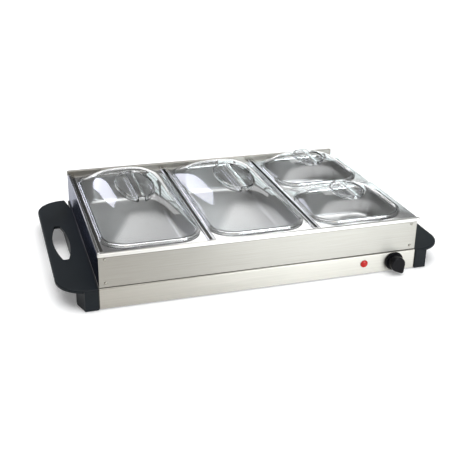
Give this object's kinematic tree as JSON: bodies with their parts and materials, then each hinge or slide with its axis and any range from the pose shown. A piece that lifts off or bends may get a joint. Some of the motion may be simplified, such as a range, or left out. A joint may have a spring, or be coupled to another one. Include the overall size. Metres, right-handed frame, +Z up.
{
  "type": "electric buffet server",
  "caption": "Electric buffet server: heated base with two moulded handles, lift-off tray frame, full and half pans, and clear domed lids with pinch grips.",
  "frame": {"origin": "middle of the whole object's footprint, on the surface it stands on", "axes": "+X to the right along the length, +Y to the back, +Z up; knob and lamp at the front, -Y"},
  "size_m": [0.664, 0.3956, 0.132],
  "materials": {
    "stainless": "brushed stainless sheet",
    "bright_stainless": "polished stainless sheet",
    "handle_plastic": "fine matte black moulding",
    "knob_plastic": "gloss black moulding",
    "clear_plastic": "clear moulding",
    "lamp_red": "clear red moulding",
    "bulb_glass": "neon indicator glass",
    "pad_rubber": "black rubber",
    "galvanised": "galvanised sheet",
    "shield": "bright aluminium sheet",
    "sheath": "heat-darkened steel tube",
    "fastener": "plated steel",
    "brass": "turned brass",
    "ceramic": "glazed ceramic",
    "wire": "braided heat-proof lead",
    "gland_plastic": "black moulding"
  },
  "bodies": {
    "base": {"warming_plate": "stainless", "bottom_cover": "galvanised", "cover_posts": "fastener", "cover_screws": "fastener", "right_end_cap": "handle_plastic", "left_end_cap": "handle_plastic", "end_cap_screws": "fastener", "foot_pads": "pad_rubber", "heating_element": "sheath", "element_clips": "galvanised", "heat_shield": "shield", "thermal_fuse": "brass", "fuse_clip": "galvanised", "thermostat": "ceramic", "thermostat_nut": "fastener", "lamp_lens": "lamp_red", "lamp_bulb": "bulb_glass", "lamp_retainer": "fastener", "cord_gland": "gland_plastic", "terminal_block": "ceramic", "earth_screw": "brass", "wiring_harness": "wire"},
    "knob": {"control_knob": "knob_plastic", "thermostat_shaft": "fastener", "knob_spring": "fastener"},
    "tray_frame": {"frame_front": "stainless", "frame_back": "stainless", "frame_right": "stainless", "frame_left": "stainless", "frame_rivets": "fastener", "right_divider": "bright_stainless", "left_divider": "bright_stainless", "cross_divider": "bright_stainless"},
    "left_pan": {"left_pan": "bright_stainless"},
    "left_lid": {"left_lid": "clear_plastic"},
    "middle_pan": {"middle_pan": "bright_stainless"},
    "middle_lid": {"middle_lid": "clear_plastic"},
    "front_pan": {"front_pan": "bright_stainless"},
    "front_lid": {"front_lid": "clear_plastic"},
    "back_pan": {"back_pan": "bright_stainless"},
    "back_lid": {"back_lid": "clear_plastic"}
  },
  "joints": [
    {"name": "knob_turn", "type": "hinge", "parent": "base", "child": "knob", "pos_m": [0.231, -0.18825, 0.0205], "axis": [0, -1, 0], "range_deg": [0, 270]},
    {"name": "tray_frame_lift", "type": "slide", "parent": "base", "child": "tray_frame", "axis": [0, 0, 1], "range_m": [0, 0.12]},
    {"name": "left_pan_lift", "type": "slide", "parent": "tray_frame", "child": "left_pan", "axis": [0, 0, 1], "range_m": [0, 0.14]},
    {"name": "left_lid_lift", "type": "slide", "parent": "left_pan", "child": "left_lid", "axis": [0, 0, 1], "range_m": [0, 0.1]},
    {"name": "middle_pan_lift", "type": "slide", "parent": "tray_frame", "child": "middle_pan", "axis": [0, 0, 1], "range_m": [0, 0.14]},
    {"name": "middle_lid_lift", "type": "slide", "parent": "middle_pan", "child": "middle_lid", "axis": [0, 0, 1], "range_m": [0, 0.1]},
    {"name": "front_pan_lift", "type": "slide", "parent": "tray_frame", "child": "front_pan", "axis": [0, 0, 1], "range_m": [0, 0.14]},
    {"name": "front_lid_lift", "type": "slide", "parent": "front_pan", "child": "front_lid", "axis": [0, 0, 1], "range_m": [0, 0.1]},
    {"name": "back_pan_lift", "type": "slide", "parent": "tray_frame", "child": "back_pan", "axis": [0, 0, 1], "range_m": [0, 0.14]},
    {"name": "back_lid_lift", "type": "slide", "parent": "back_pan", "child": "back_lid", "axis": [0, 0, 1], "range_m": [0, 0.1]}
  ]
}
